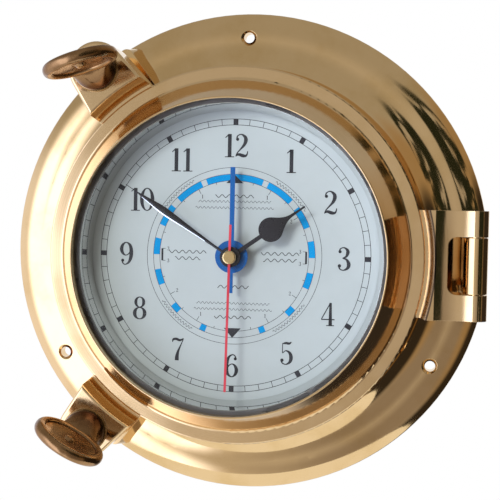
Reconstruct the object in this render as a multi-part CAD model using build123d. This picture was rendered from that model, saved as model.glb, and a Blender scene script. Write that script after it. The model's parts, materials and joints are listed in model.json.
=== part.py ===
from build123d import *
import os
from math import acos, asin, atan2, cos, degrees, pi, radians, sin, sqrt, tan

# Tide clock in a brass porthole case, hung on a wall by three screws.
# While modelling, X is to the right, Y is up and Z comes out of the wall, with the
# origin where the dial's centre line meets the wall. Each finished piece is then turned
# so that Z is up and the dial looks along -Y.

# Play and room shared by all pieces
overrun = 1.0             # how far a cut runs past what it cuts
slip = 0.05               # radial play of a shaft in its bore
seat_play = 0.1           # radial play of a ring or cell in its seat

# Dial, the size that the rest is built round
dial_r = 63.2
dial_t = 1.2
dial_hole_play = 0.1
foot_inset = 3.7          # dial edge to the centres of its feet
foot_r = 1.2
foot_length = 5.0
foot_angles = (60, 180, 300)
nut_flats_half = 2.3
nut_t = 2.0

# Polished ring between dial and glass, and the seal behind the glass
inner_ring_lap = 0.9      # how far the inner ring covers the dial's edge
inner_ring_flare = 2.0
inner_ring_wall = 1.2
inner_ring_gap = 0.5      # room between inner ring and dial
clamp_flange_t = 1.0
seal_t = 1.0
seal_inset = 0.2          # inner ring to seal
seal_show = 1.45          # width of the dark line inside the lip
snap_ring_t = 1.0
snap_ring_width = 2.1
snap_groove_depth = 1.2
snap_ring_opening = 14.0  # gap of the spring ring, in degrees

# Door: glass, lip, cone and flat ring
glass_t = 2.0
glass_lap = 1.15          # how far the lip covers the glass
glass_bore_drop = 2.5     # how far the glass bore runs behind the snap ring
lip_width = 0.75
lip_depth = 4.2           # lip to the front of the glass
lip_round = 0.3
cone_spread = 8.8
cone_height = 18.7
cone_wall = 2.3
cone_foot_round = 1.5
ring_width = 6.0
ring_t = 8.0
ring_bore_inset = 0.4
ring_edge_round = 0.7
ring_gap = 0.3            # door ring to case mouth

# Case: dished flange, barrel and ledge in one casting
mouth_z = 34.2
ring_overhang = 0.3       # how far the door ring stands past the barrel
barrel_wall = 3.6
ledge_width = 6.9
ledge_drop = 5.2          # mouth to ledge
ledge_edge = 3.0          # thickness of the ledge at its inner edge
cove_r = 16.5
shoulder_z = 7.5
crown_r = 18.0
crown_width = 11.7
rim_bulge = 0.8
rim_z = 1.7               # height of the widest point of the rim
rim_tuck = 0.6            # how far the rim draws in at the wall
wall_ring_width = 17.0
wall_hole_offset = 1.0    # shoulder to the circle of wall screws
wall_hole_r = 2.4
countersink_rim = 1.2
wall_hole_angles = (90, 210, 330)

# Rubber seal between door and mouth
gasket_inset = 1.2
gasket_width = 2.0
gasket_groove = 1.5

# Hinge at 3 o'clock
hinge_reach = 20.4        # door ring to the pin
hinge_y = -1.2
hinge_rise = 4.5          # front of the door ring to the pin
pin_r = 2.0
pin_recess = 0.2
knuckle_wall = 2.95
knuckle_half = 11.5
knuckle_side_gap = 0.4
post_drop = 17.0          # pin to where the post begins to spread
post_foot_z = 3.0
post_spread = 3.5
post_foot_inward = 8.2
post_foot_outward = 5.8
fork_half = 22.6
fork_eye_wall = 3.0
fork_heel_reach = 7.2
fork_cut_reach = 11.4
fork_cut_round = 3.8
fork_crest_reach = 1.0    # pin to the crest where the hollowed plate meets an eye
fork_dish = 1.2           # how far the plate between ring and eyes is hollowed

# Ears and lugs for the thumb screws
screw_angles = (126.9, -129.0)
screw_reach = 16.7        # door ring to a thumb screw's axis
ear_end_r = 12.0          # radius of an ear's round end
ear_taper = 6.0           # how much each side of an ear leans in, in degrees
ear_rise = 9.5            # front of the door ring to the front of an ear
ear_edge_round = 1.2
ear_root_lap = 3.3        # how far an ear runs in under the ring
ear_groove_width = 1.7
ear_groove_depth = 1.4
ear_wall_lean = 2.0
lug_top_z = 17.0
lug_foot_z = 3.5
lug_half = 12.5
lug_spread = 3.5
lug_inward = 15.0
lug_outward = 9.0
lug_inner_spread = 2.0
lug_round = 3.0
thread_hole_depth = 8.0

# Thumb screws, their washers and clips
shank_r = 4.0
thread_depth = 0.7
thread_start = 10.5       # ring's back to the top of the thread
thread_reach = 2.8        # how deep the screw goes into the lug
screw_travel = 8.0
washer_width = 5.5
washer_t = 1.0
clip_width = 3.0
clip_t = 1.0
clip_groove_depth = 1.0
clip_opening_half = 1.6
boss_r = 9.2
boss_side = 4.0           # height of the boss's straight side
boss_top_r = 5.5
boss_height = 11.0
paddle_foot_half = 11.5   # half width of the paddle at the screw seat
paddle_foot_thick = 6.8   # half thickness there
paddle_half_width = 15.7
paddle_widest = 21.0      # screw seat to the paddle's widest place
paddle_height = 35.5
paddle_top_thick = 2.4    # half thickness at the paddle's top
paddle_edge_round = 2.0
paddle_rim = 4.0          # paddle's outline to the edge of its dish
dish_half_height = 10.0
dish_depth = 2.0
dish_wall = 0.8           # how far the dish narrows down to its floor
paddle_nub_r = 2.8
paddle_nub_rise = 2.0     # floor of the dish to the middle of the nub's dome
paddle_angles = (198.2, -30.6)

# Mounting ring that carries the dial
mount_sheet = 1.2
mount_height = 11.6       # ledge to the front of the dial
mount_play = 0.3
mount_neck_width = 0.7
mount_lip_width = 7.9
mount_screw_inset = 3.4
mount_screw_r = 1.4
mount_screw_head_r = 2.8
mount_screw_head_t = 1.6
mount_screw_length = 5.0
mount_screw_angles = (45, 135, 225, 315)

# Movement housing
cushion_t = 1.0
cushion_width = 14.0
cushion_room = 2.0
housing_top_y = 22.0
housing_front_wall = 1.5
housing_wall = 1.8
housing_round = 2.5
bay_end_wall = 4.8
battery_inset = 0.3       # cell to the back plane of the housing
cover_t = 1.6
cover_play = 0.1
cover_post_r = 2.4
cover_screw_r = 0.9
cover_screw_head_r = 1.9
cover_screw_head_t = 1.1
cover_screw_length = 7.5

# Battery and contacts
battery_r = 7.1
battery_length = 49.5
battery_cap_r = 2.75
battery_cap_length = 1.0
contact_t = 0.4
contact_half = 5.0
contact_bump_r = 3.5
contact_bump_reach = 1.1

# Centre bush and its nut
bush_r = 4.0
bush_flange_r = 5.6
bush_flange_t = 0.8
bush_rise = 2.8           # how far the bush stands above the dial
bush_nut_flats_half = 5.5
bush_nut_t = 1.8

# Arbor and pipes, one inside the other
second_arbor_r = 0.6
pipe_wall = 0.45
outer_pipe_wall = 0.5
arbor_r = 0.8
arbor_offset = 12.0       # centre to the motion arbor
tide_offset = 12.075      # centre to the tide arbor
pivot_depth = 0.7
pivot_end_play = 0.2

# Wheels: tooth form in modules and shares of the pitch
addendum_share = 0.85
dedendum_share = 1.2
tooth_tip_share = 0.20
tooth_root_share = 0.60
minute_pinion_teeth = 12
motion_wheel_teeth = 36
motion_pinion_teeth = 12
hour_wheel_teeth = 48
tide_driver_teeth = 57
tide_pinion_teeth = 12
tide_wheel_teeth = 59
wheel_t = 1.0
wheel_gap = 0.3           # room between two wheels, one above the other
wheel_room = 0.6          # room between a wheel and the housing
pinion_spare = 0.15       # how far a pinion is wider than its wheel, on each side
tide_wheel_drop = 0.2     # room between the bush and the tide wheel

# Drive unit, circuit board and crystal
drive_half_x = 14.0
drive_half_y = 8.0
drive_gap = 0.5
drive_round = 1.5
minute_pipe_depth = 2.5
second_arbor_depth = 4.2
board_room = 2.5
board_edge_room = 1.2
board_low_y = -12.0
board_high_y = 13.0
board_t = 1.2
crystal_r = 1.0
crystal_length = 6.0

# Setting knobs on the back
knob_r = 8.0
knob_t = 4.5
knob_gap = 0.5
knob_grip_r = 0.9
knob_grips = 14
knob_bore_depth = 2.7

# Hands
tide_hand_rise = 5.6      # front of the dial to the tide hand
hand_pitch = 1.8          # from one hand to the next
hand_t = 0.5
pipe_end = 0.1            # how far a pipe stands past its hand
tide_hand_tip_r = 38.0
tide_hand_tail_r = 15.5
tide_hand_half = 1.0
tide_tail_half = 0.75
tide_hub_r = 7.0
hour_hand_tip_r = 38.0
hour_blob_r = 5.2
hour_blob_centre_r = 20.6
hour_stem_half = 0.9
hour_spear_half = 0.6
hour_spear_start_r = 32.0
hour_shoulder_angle = 35  # where the hollow shoulders leave the blob
hour_point_half = 0.35
hour_hub_r = 4.3
hour_hand_angle = 54.8
minute_hand_tip_r = 54.5
minute_belly_r = 34.5
minute_belly_half = 1.65
minute_stem_half = 0.6
minute_point_half = 0.2
minute_hub_r = 4.35
minute_hand_angle = 303.3
second_hand_tip_r = 57.0
second_hand_tail_r = 13.7
second_hand_half = 0.5
second_hub_r = 1.8
second_hand_angle = 181.0
cap_r = 2.9
cap_t = 1.4
cap_round = 0.6

# Radii that follow, from the dial outwards
inner_ring_foot_r = dial_r - inner_ring_lap
inner_ring_top_r = inner_ring_foot_r + inner_ring_flare
seal_inner_r = inner_ring_top_r + seal_inset
aperture_r = inner_ring_top_r + seal_show
glass_r = aperture_r + glass_lap
glass_bore_r = glass_r + seat_play
lip_r = aperture_r + lip_width
cone_foot_r = lip_r + cone_spread
cone_lean = cone_spread / cone_height
ring_bore_r = cone_foot_r - ring_bore_inset
ring_r = cone_foot_r + ring_width
barrel_r = ring_r - ring_overhang
barrel_bore_r = barrel_r - barrel_wall
ledge_r = barrel_bore_r - ledge_width
shoulder_r = barrel_r + cove_r
flange_r = shoulder_r + crown_width + rim_bulge
wall_ring_r = flange_r - wall_ring_width
wall_hole_circle_r = shoulder_r + wall_hole_offset
gasket_r = barrel_r - gasket_inset
gasket_inner_r = gasket_r - gasket_width
foot_circle_r = dial_r - foot_inset
mount_r = barrel_bore_r - mount_play
mount_neck_r = dial_r + mount_neck_width
mount_lip_r = mount_neck_r - mount_lip_width
mount_screw_circle_r = barrel_bore_r - mount_screw_inset
screw_circle_r = ring_r + screw_reach
ear_root_r = ring_r - ear_root_lap
ear_wall_r = ring_r + ear_groove_width
hinge_x = ring_r + hinge_reach
knuckle_r = pin_r + knuckle_wall
fork_eye_r = pin_r + fork_eye_wall
fork_cut_x = hinge_x - fork_cut_reach

# Heights that follow, from the wall outwards
cove_z = shoulder_z + cove_r
ledge_z = mouth_z - ledge_drop
dial_z = ledge_z + mount_height
dial_back_z = dial_z - dial_t
ring_back_z = mouth_z + ring_gap
ring_front_z = ring_back_z + ring_t
lip_z = ring_front_z + cone_height
glass_front_z = lip_z - lip_depth
glass_back_z = glass_front_z - glass_t
seal_back_z = glass_back_z - seal_t
clamp_back_z = seal_back_z - clamp_flange_t
snap_back_z = clamp_back_z - snap_ring_t
ear_groove_z = ring_front_z - ear_groove_depth
ear_front_z = ring_front_z + ear_rise
screw_seat_z = ear_front_z + washer_t
paddle_z = screw_seat_z + paddle_widest
paddle_top_z = screw_seat_z + paddle_height
clip_top_z = ring_back_z - screw_travel
hinge_z = ring_front_z + hinge_rise
fork_front_z = hinge_z + fork_eye_r
post_top_z = hinge_z - post_drop
tide_hand_z = dial_z + tide_hand_rise
hour_hand_z = tide_hand_z + hand_pitch
minute_hand_z = hour_hand_z + hand_pitch
second_hand_z = minute_hand_z + hand_pitch

# Movement sizes that follow
housing_front_z = dial_back_z - cushion_t
chamber_z = housing_front_z - housing_front_wall
battery_z = chamber_z - battery_r - seat_play
housing_back_z = battery_z - battery_r - battery_inset
cover_top_z = housing_back_z + cover_t
knob_top_z = housing_back_z - knob_gap
minute_module = 2 * arbor_offset / (minute_pinion_teeth + motion_wheel_teeth)
hour_module = 2 * arbor_offset / (motion_pinion_teeth + hour_wheel_teeth)
tide_driver_module = 2 * tide_offset / (tide_driver_teeth + tide_pinion_teeth)
tide_wheel_module = 2 * tide_offset / (tide_wheel_teeth + tide_pinion_teeth)
motion_wheel_r = minute_module * (motion_wheel_teeth / 2 + addendum_share)
divider_y = -arbor_offset - motion_wheel_r - wheel_room
battery_y = divider_y - housing_wall - battery_r - seat_play
housing_bottom_y = battery_y - battery_r - seat_play - housing_wall
cell_length = battery_length + battery_cap_length
bay_half_length = (cell_length + contact_bump_reach) / 2 + contact_t
housing_half_width = bay_half_length + bay_end_wall
minute_pipe_bore = second_arbor_r + slip
minute_pipe_r = minute_pipe_bore + pipe_wall
hour_pipe_bore = minute_pipe_r + slip
hour_pipe_r = hour_pipe_bore + outer_pipe_wall
tide_pipe_bore = hour_pipe_r + slip
tide_pipe_r = tide_pipe_bore + outer_pipe_wall
bush_bore_r = tide_pipe_r + slip
tide_wheel_z = chamber_z - bush_flange_t - tide_wheel_drop - wheel_t
tide_driver_z = tide_wheel_z - wheel_gap - wheel_t
hour_wheel_z = tide_driver_z - wheel_gap - wheel_t
motion_wheel_z = hour_wheel_z - 2 * wheel_gap - wheel_t
drive_top_z = motion_wheel_z - pinion_spare - drive_gap


# Shapes used by many pieces

def slab(sketch, low, high):
    """A sketch raised from one height to another."""
    return Pos(0, 0, low) * extrude(sketch, high - low)


def bar(radius, low, high):
    """A round bar on the centre line."""
    return slab(Circle(radius), low, high)


def tube(outer, inner, low, high):
    """A round tube on the centre line."""
    return slab(Circle(outer) - Circle(inner), low, high)


def block(left, right, bottom, top, low, high):
    """A box between two limits along each axis."""
    middle = Pos((left + right) / 2, (bottom + top) / 2, (low + high) / 2)
    return middle * Box(right - left, top - bottom, high - low)


def turned(outline):
    """A round piece: an outline of radius and height spun about the centre line."""
    return revolve(Plane.XZ * outline, Axis.Z)


def rounded(outline, corners):
    """The outline with the corner nearest each (x, y, radius) rounded."""
    for x, y, radius in corners:
        corner = outline.vertices().sort_by_distance((x, y))[0]
        outline = fillet(corner, radius)
    return outline


def around(piece, radius, angles):
    """Copies of a piece on a circle about the centre line."""
    return [Rot(0, 0, angle) * Pos(radius, 0, 0) * piece for angle in angles]


def pointing(piece, clockwise):
    """A hand drawn pointing up, turned clockwise to its place."""
    return Rot(0, 0, -clockwise) * piece


def toothed(teeth, module, phase, low, high):
    """A spur wheel with straight-sided teeth and one tooth's middle at the given angle."""
    tip_r = module * (teeth / 2 + addendum_share)
    root_r = module * (teeth / 2 - dedendum_share)
    pitch = 360 / teeth
    corners = []
    for tooth in range(teeth):
        middle = phase + tooth * pitch
        for radius, share in ((root_r, -tooth_root_share), (tip_r, -tooth_tip_share),
                              (tip_r, tooth_tip_share), (root_r, tooth_root_share)):
            angle = radians(middle + share * pitch / 2)
            corners.append((radius * cos(angle), radius * sin(angle)))
    return slab(make_face(Polyline(*corners, close=True)), low, high)


# Case

def crown_height(radius):
    """Height of the flange's crown at a radius beyond the shoulder."""
    return shoulder_z - crown_r + sqrt(crown_r ** 2 - (radius - shoulder_r) ** 2)


def case_form():
    """Outside of the case: barrel, cove, crown and rim, as a solid round form."""
    sweep = degrees(asin(crown_width / crown_r))
    crown = CenterArc((shoulder_r, shoulder_z - crown_r), crown_r, 90, -sweep)
    rim = ThreePointArc(crown @ 1, (flange_r, rim_z), (flange_r - rim_tuck, 0))
    return turned(make_face([
        Line((barrel_r, mouth_z), (barrel_r, cove_z)),
        CenterArc((shoulder_r, cove_z), cove_r, 180, 90),
        crown,
        rim,
        Polyline(rim @ 1, (0, 0), (0, mouth_z), (barrel_r, mouth_z)),
    ]))


def case_core():
    """Inside of the case: hollow behind the cove, ledge and mouth."""
    hollow_r = cove_r + barrel_wall
    hollow_angle = degrees(acos((wall_ring_r - shoulder_r) / hollow_r))
    hollow = CenterArc((shoulder_r, cove_z), hollow_r, -hollow_angle, hollow_angle - 180)
    mouth_top = mouth_z + overrun
    return turned(make_face([
        Polyline((0, -overrun), (wall_ring_r, -overrun), hollow @ 0),
        hollow,
        Polyline(hollow @ 1, (ledge_r, ledge_z - ledge_edge), (ledge_r, ledge_z),
                 (barrel_bore_r, ledge_z), (barrel_bore_r, mouth_top), (0, mouth_top),
                 (0, -overrun)),
    ]))


def lug():
    """Cast foot that takes a thumb screw, with its thread hole."""
    top_depth = lug_inward + lug_outward
    foot_depth = top_depth + lug_inner_spread
    outer = screw_circle_r + lug_outward
    foot = Pos(outer - foot_depth / 2, 0, lug_foot_z) * RectangleRounded(
        foot_depth, 2 * (lug_half + lug_spread), lug_round)
    top = Pos(outer - top_depth / 2, 0, lug_top_z) * RectangleRounded(
        top_depth, 2 * lug_half, lug_round)
    return loft([foot, top])


def lug_hole():
    """Thread hole of a lug, at the thread's outer size."""
    return bar(shank_r + slip, lug_top_z - thread_hole_depth, lug_top_z + overrun)


def hinge_post():
    """Knuckle and its post on the flange, bored for the pin."""
    knuckle = Pos(hinge_x, 0, hinge_z) * Rot(90, 0, 0) * Cylinder(knuckle_r, 2 * knuckle_half)
    post = block(hinge_x - knuckle_r, hinge_x + knuckle_r, -knuckle_half, knuckle_half,
                 post_top_z, hinge_z)
    foot_depth = post_foot_inward + post_foot_outward
    foot = loft([
        Pos(hinge_x - post_foot_inward + foot_depth / 2, 0, post_foot_z)
        * Rectangle(foot_depth, 2 * (knuckle_half + post_spread)),
        Pos(hinge_x, 0, post_top_z) * Rectangle(2 * knuckle_r, 2 * knuckle_half),
    ])
    return Pos(0, hinge_y, 0) * (knuckle + post + foot) - pin_bore()


def pin_bore():
    """Bore for the hinge pin, through fork and knuckle."""
    length = 2 * (fork_half + overrun)
    return Pos(hinge_x, hinge_y, hinge_z) * Rot(90, 0, 0) * Cylinder(pin_r + slip, length)


def wall_hole():
    """Countersunk hole for a wall screw."""
    surface = crown_height(wall_hole_circle_r)
    depth = countersink_rim + overrun
    cone = Pos(0, 0, surface - countersink_rim + depth / 2) * Cone(
        wall_hole_r, wall_hole_r + depth, depth)
    return bar(wall_hole_r, -overrun, surface) + cone


def case_flange():
    case = case_form()
    case += around(lug(), 0, screw_angles)
    case += hinge_post()
    case -= case_core()
    case -= around(lug_hole(), screw_circle_r, screw_angles)
    case -= around(wall_hole(), wall_hole_circle_r, wall_hole_angles)
    screw_hole = bar(mount_screw_r + slip, 0, ledge_z + overrun)
    return case - around(screw_hole, mount_screw_circle_r, mount_screw_angles)


def hinge_pin():
    pin = Cylinder(pin_r, 2 * (fork_half - pin_recess))
    return Pos(hinge_x, hinge_y, hinge_z) * Rot(90, 0, 0) * pin


# Door

def cone_outer_r(height):
    """Outer radius of the door's cone at a height."""
    return cone_foot_r - cone_lean * (height - ring_front_z)


def door_outline():
    """Section of the door: flat ring, cone, lip and glass bore."""
    bore_end_z = snap_back_z - glass_bore_drop
    bore_end_r = cone_outer_r(bore_end_z) - cone_wall
    meeting_z = ring_front_z - (ring_bore_r + cone_wall - cone_foot_r) / cone_lean
    outline = make_face(Polyline(
        (ring_bore_r, ring_back_z),
        (ring_r, ring_back_z),
        (ring_r, ring_front_z),
        (cone_foot_r, ring_front_z),
        (lip_r, lip_z),
        (aperture_r, lip_z),
        (aperture_r, glass_front_z),
        (glass_bore_r, glass_front_z),
        (glass_bore_r, bore_end_z),
        (bore_end_r, bore_end_z),
        (ring_bore_r, meeting_z),
        close=True,
    ))
    return rounded(outline, [
        (ring_r, ring_front_z, ring_edge_round),
        (cone_foot_r, ring_front_z, cone_foot_round),
        (lip_r, lip_z, lip_round),
        (aperture_r, lip_z, lip_round),
    ])


def ear():
    """Ear that carries a thumb screw: its sides lean in to a round end."""
    lean = radians(ear_taper)
    end_x = screw_circle_r + ear_end_r * sin(lean)
    end_half = ear_end_r * cos(lean)
    root_half = end_half + (end_x - ear_root_r) * tan(lean)
    outline = make_face([
        Polyline((end_x, end_half), (ear_root_r, root_half), (ear_root_r, -root_half),
                 (end_x, -end_half)),
        ThreePointArc((end_x, -end_half), (screw_circle_r + ear_end_r, 0), (end_x, end_half)),
    ])
    solid = slab(outline, ring_back_z, ear_front_z) - ear_inner_cut()
    top = solid.edges().filter_by_position(Axis.Z, ear_front_z, ear_front_z)
    return fillet(top, ear_edge_round)


def ear_inner_cut():
    """Cone that trims the inner walls of ears and fork, down to the groove."""
    rise = ear_wall_lean / ear_rise
    height = ear_front_z + overrun - ear_groove_z
    low_r = ear_wall_r - rise * ear_groove_depth
    return Pos(0, 0, ear_groove_z + height / 2) * Cone(low_r, low_r + rise * height, height)


def fork():
    """Hinge fork: a hollowed plate with a heel, two eyes round the pin and the cut between."""
    eye_low_z = hinge_z - fork_eye_r
    plate_x = ear_wall_r + ear_wall_lean
    crest_x = hinge_x - fork_crest_reach
    crest_z = hinge_z + sqrt(fork_eye_r ** 2 - fork_crest_reach ** 2)
    side = make_face([
        Polyline((hinge_x, eye_low_z), (hinge_x - fork_heel_reach, ring_back_z),
                 (ear_root_r, ring_back_z), (ear_root_r, crest_z), (plate_x, crest_z)),
        ThreePointArc((plate_x, crest_z), ((plate_x + crest_x) / 2, crest_z - fork_dish),
                      (crest_x, crest_z)),
        ThreePointArc((crest_x, crest_z), (hinge_x + fork_eye_r, hinge_z),
                      (hinge_x, eye_low_z)),
    ])
    body = Pos(0, fork_half, 0) * extrude(Plane.XZ * side, 2 * fork_half)
    cut_reach = fork_cut_reach + fork_eye_r + overrun
    cut_half = knuckle_half + knuckle_side_gap
    outline = rounded(Pos(fork_cut_x + cut_reach / 2, 0) * Rectangle(cut_reach, 2 * cut_half), [
        (fork_cut_x, cut_half, fork_cut_round),
        (fork_cut_x, -cut_half, fork_cut_round),
    ])
    body -= slab(outline, ring_back_z - overrun, fork_front_z + overrun)
    return Pos(0, hinge_y, 0) * body - ear_inner_cut() - pin_bore()


def door_ring():
    door = turned(door_outline())
    door += around(ear(), 0, screw_angles)
    door += fork()
    hole = bar(shank_r + slip, ring_back_z - overrun, ear_front_z + overrun)
    door -= around(hole, screw_circle_r, screw_angles)
    door -= tube(glass_bore_r + snap_groove_depth, glass_bore_r - overrun,
                 snap_back_z, clamp_back_z)
    groove_top = ring_back_z + gasket_groove
    return door - tube(gasket_r + seat_play, gasket_inner_r - seat_play,
                       ring_back_z - overrun, groove_top)


def door_glass():
    return bar(glass_r, glass_back_z, glass_front_z)


def glass_seal():
    return tube(glass_r, seal_inner_r, seal_back_z, glass_back_z)


def inner_ring():
    """Polished ring between dial and glass: a thin flaring wall with a clamping flange."""
    foot_z = dial_z + inner_ring_gap
    outline = make_face(Polyline(
        (inner_ring_foot_r, foot_z),
        (inner_ring_foot_r + inner_ring_wall, foot_z),
        (inner_ring_top_r + inner_ring_wall, clamp_back_z),
        (glass_r, clamp_back_z),
        (glass_r, seal_back_z),
        (inner_ring_top_r, seal_back_z),
        close=True,
    ))
    return turned(outline)


def glass_snap_ring():
    """Spring ring with a gap, sprung into its groove behind the inner ring."""
    outer = glass_bore_r + snap_groove_depth - seat_play
    ring = tube(outer, outer - snap_ring_width, snap_back_z, clamp_back_z)
    reach = outer + overrun
    half = radians(snap_ring_opening / 2)
    wedge = make_face(Polyline((0, 0), (reach * cos(half), -reach * sin(half)),
                               (reach * cos(half), reach * sin(half)), close=True))
    return ring - slab(wedge, snap_back_z - overrun, clamp_back_z + overrun)


def door_gasket():
    return tube(gasket_r, gasket_inner_r, mouth_z, ring_back_z + gasket_groove)


# Thumb screws

def screw_washer():
    bore = shank_r + slip
    return tube(bore + washer_width, bore, ear_front_z, screw_seat_z)


def screw_clip():
    """Open clip in the shank's groove that keeps the screw in its ear."""
    bore = shank_r - clip_groove_depth + slip
    clip_r = bore + clip_width
    ring = tube(clip_r, bore, clip_top_z - clip_t, clip_top_z)
    return ring - block(0, clip_r + overrun, -clip_opening_half, clip_opening_half,
                        clip_top_z - clip_t - overrun, clip_top_z + overrun)


def boss():
    """Round boss on the washer, drawn in to the paddle above."""
    low = screw_seat_z + boss_side
    rise = boss_height - boss_side
    return bar(boss_r, screw_seat_z, low) + Pos(0, 0, low + rise / 2) * Cone(
        boss_r, boss_top_r, rise)


def paddle_body():
    """Paddle before its dishes: a round-topped outline, cut to a wedge that thins upwards."""
    foot = (paddle_foot_half, screw_seat_z)
    right = Spline(foot, (paddle_half_width, paddle_z), (0, paddle_top_z), tangents=[
        (paddle_half_width - paddle_foot_half, paddle_widest), (-1, 0)])
    left = mirror(right, Plane.YZ)
    outline = make_face([right, left, Line(left @ 0, right @ 0)])
    high = paddle_top_z + overrun
    wedge = make_face(Polyline(
        (-paddle_foot_thick, screw_seat_z), (paddle_foot_thick, screw_seat_z),
        (paddle_top_thick, high), (-paddle_top_thick, high), close=True))
    body = extrude(Plane.XZ * outline, paddle_foot_thick + overrun, both=True)
    body &= extrude(Plane.YZ * wedge, paddle_half_width + overrun, both=True)
    rim = body.edges().filter_by_position(Axis.Z, screw_seat_z + overrun, paddle_top_z - overrun)
    return fillet(rim, paddle_edge_round)


def paddle_face(side, depth):
    """Plane at a depth below one of the paddle's two sloping faces, level with its dish."""
    lean = atan2(paddle_foot_thick - paddle_top_thick, paddle_height + overrun)
    thick = paddle_foot_thick - paddle_widest * tan(lean)
    face = Plane(origin=(0, side * thick, paddle_z), x_dir=(1, 0, 0),
                 z_dir=(0, side * cos(lean), sin(lean)))
    return face.offset(-depth)


def dish(side):
    """Oval dish of one face, which narrows down to its floor."""
    def oval(depth):
        inset = dish_wall * depth / dish_depth
        return paddle_face(side, depth) * Ellipse(
            paddle_half_width - paddle_rim - inset, dish_half_height - inset)
    return loft([oval(-overrun), oval(dish_depth)])


def nub(side):
    """Round stud with a domed end in the middle of a dish."""
    stud = bar(paddle_nub_r, -overrun, paddle_nub_rise)
    stud += Pos(0, 0, paddle_nub_rise) * Sphere(paddle_nub_r)
    return paddle_face(side, dish_depth) * stud


def shank():
    """Shank with a threaded end at its core size and a groove for the clip."""
    thread_top_z = ring_back_z - thread_start
    rod = bar(shank_r, thread_top_z, screw_seat_z)
    rod += bar(shank_r - thread_depth, lug_top_z - thread_reach, thread_top_z)
    return rod - tube(shank_r + overrun, shank_r - clip_groove_depth,
                      clip_top_z - clip_t, clip_top_z)


def thumb_screw():
    """Shank, boss and a wedge-shaped paddle with a dish and a nub on each face."""
    head = paddle_body() + boss()
    for side in (1, -1):
        head -= dish(side)
        head += nub(side)
    return head + shank()


def placed_on_ear(piece, index, turn=0):
    """A piece on the axis of one thumb screw, turned about it."""
    place = Rot(0, 0, screw_angles[index]) * Pos(screw_circle_r, 0, 0)
    return place * Rot(0, 0, turn - screw_angles[index]) * piece


# Dial and mounting ring

def dial_plate():
    """Dial with a centre hole and three feet behind."""
    plate = tube(dial_r, bush_r + dial_hole_play, dial_back_z, dial_z)
    return plate + around(bar(foot_r, dial_back_z - foot_length, dial_back_z),
                          foot_circle_r, foot_angles)


def dial_mounting_ring():
    """Pressed ring: a flange on the case's ledge, a neck and a lip under the dial."""
    neck_inner_r = mount_neck_r - mount_sheet
    ring = tube(mount_r, neck_inner_r, ledge_z, ledge_z + mount_sheet)
    ring += tube(mount_neck_r, neck_inner_r, ledge_z, dial_back_z)
    ring += tube(mount_neck_r, mount_lip_r, dial_back_z - mount_sheet, dial_back_z)
    ring -= around(bar(foot_r + slip, ledge_z, dial_z), foot_circle_r, foot_angles)
    screw_hole = bar(mount_screw_r + slip, 0, dial_z)
    return ring - around(screw_hole, mount_screw_circle_r, mount_screw_angles)


def mounting_ring_screws():
    head_z = ledge_z + mount_sheet
    screw = bar(mount_screw_head_r, head_z, head_z + mount_screw_head_t)
    screw += bar(mount_screw_r, head_z - mount_screw_length, head_z)
    return Compound(children=around(screw, mount_screw_circle_r, mount_screw_angles))


def hexagon_nut(flats_half, bore_r, low, high):
    outline = RegularPolygon(flats_half, 6, major_radius=False) - Circle(bore_r)
    return slab(outline, low, high)


def dial_nuts():
    top = dial_back_z - mount_sheet
    nut = hexagon_nut(nut_flats_half, foot_r + slip, top - nut_t, top)
    return Compound(children=around(nut, foot_circle_r, foot_angles))


# Movement

def dial_cushion():
    bore = bush_r + cushion_room
    return tube(bore + cushion_width, bore, housing_front_z, dial_back_z)


def post_places():
    """Centres of the cover's four screw posts."""
    side = housing_half_width - housing_wall - cover_post_r
    high = housing_top_y - housing_wall - cover_post_r
    low = divider_y + cover_post_r
    return [(side, high), (-side, high), (side, low), (-side, low)]


def at_places(piece, places):
    return [Pos(x, y, 0) * piece for x, y in places]


def movement_case():
    """Moulded housing: a chamber for the wheels above and an open battery bay below."""
    body = block(-housing_half_width, housing_half_width, housing_bottom_y, housing_top_y,
                 housing_back_z, housing_front_z)
    body = fillet(body.edges().filter_by(Axis.Z), housing_round)
    inside = housing_half_width - housing_wall
    body -= block(-inside, inside, divider_y, housing_top_y - housing_wall,
                  housing_back_z - overrun, chamber_z)
    body -= block(-bay_half_length, bay_half_length, housing_bottom_y + housing_wall,
                  divider_y - housing_wall, housing_back_z - overrun, chamber_z)
    posts = at_places(bar(cover_post_r, cover_top_z, chamber_z), post_places())
    pilot = bar(cover_screw_r + slip, housing_back_z, housing_back_z + cover_screw_length)
    body += posts
    body -= at_places(pilot, post_places())
    body -= bar(bush_r + slip, chamber_z - overrun, housing_front_z + overrun)
    pivot = bar(arbor_r + slip, chamber_z - overrun, chamber_z + pivot_depth)
    return body - at_places(pivot, [(0, -arbor_offset), (0, tide_offset)])


def movement_cover():
    """Flat cover over the wheels, with two arbor holes."""
    inside = housing_half_width - housing_wall - cover_play
    plate = block(-inside, inside, divider_y + cover_play,
                  housing_top_y - housing_wall - cover_play, housing_back_z, cover_top_z)
    hole = bar(arbor_r + slip, housing_back_z - overrun, cover_top_z + overrun)
    plate -= at_places(hole, [(0, -arbor_offset), (0, tide_offset)])
    screw_hole = bar(cover_screw_r + slip, housing_back_z - overrun, cover_top_z + overrun)
    return plate - at_places(screw_hole, post_places())


def cover_screws():
    screw = bar(cover_screw_head_r, housing_back_z - cover_screw_head_t, housing_back_z)
    screw += bar(cover_screw_r, housing_back_z, housing_back_z + cover_screw_length)
    return Compound(children=at_places(screw, post_places()))


def centre_bush():
    """Bush that carries the pipes and holds the movement to the dial."""
    flange = bar(bush_flange_r, chamber_z - bush_flange_t, chamber_z)
    stem = bar(bush_r, chamber_z, dial_z + bush_rise)
    bore = bar(bush_bore_r, chamber_z - bush_flange_t - overrun, dial_z + bush_rise + overrun)
    return flange + stem - bore


def bush_nut():
    return hexagon_nut(bush_nut_flats_half, bush_r + slip, dial_z, dial_z + bush_nut_t)


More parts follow.
